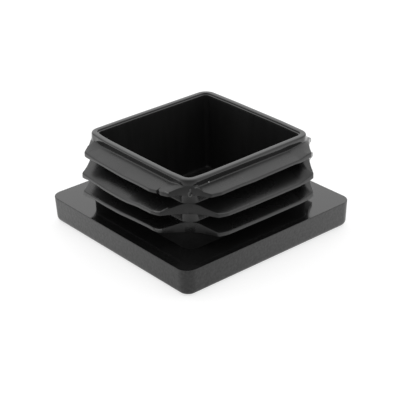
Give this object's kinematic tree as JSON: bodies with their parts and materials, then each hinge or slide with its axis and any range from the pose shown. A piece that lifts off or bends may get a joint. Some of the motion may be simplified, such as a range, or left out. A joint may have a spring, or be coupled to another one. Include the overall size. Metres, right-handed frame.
{
  "type": "square tube end cap",
  "caption": "Square ribbed end cap for tube: a flat drafted head and a hollow square stem, ringed by flexible fins that grip the tube's bore, with scooped corners.",
  "frame": {"origin": "centre of the outer face of the head, which the cap rests on", "axes": "+Z along the stem to its open mouth; X and Y square to the sides of the head"},
  "size_m": [0.04, 0.04, 0.0184],
  "materials": {
    "cap_plastic": "black injection-moulded polyethylene: satin mould finish on stem, fins and seating face, fine spark-eroded grain on the sides of the head"
  },
  "bodies": {
    "root": {"end_cap": "cap_plastic"}
  },
  "joints": []
}
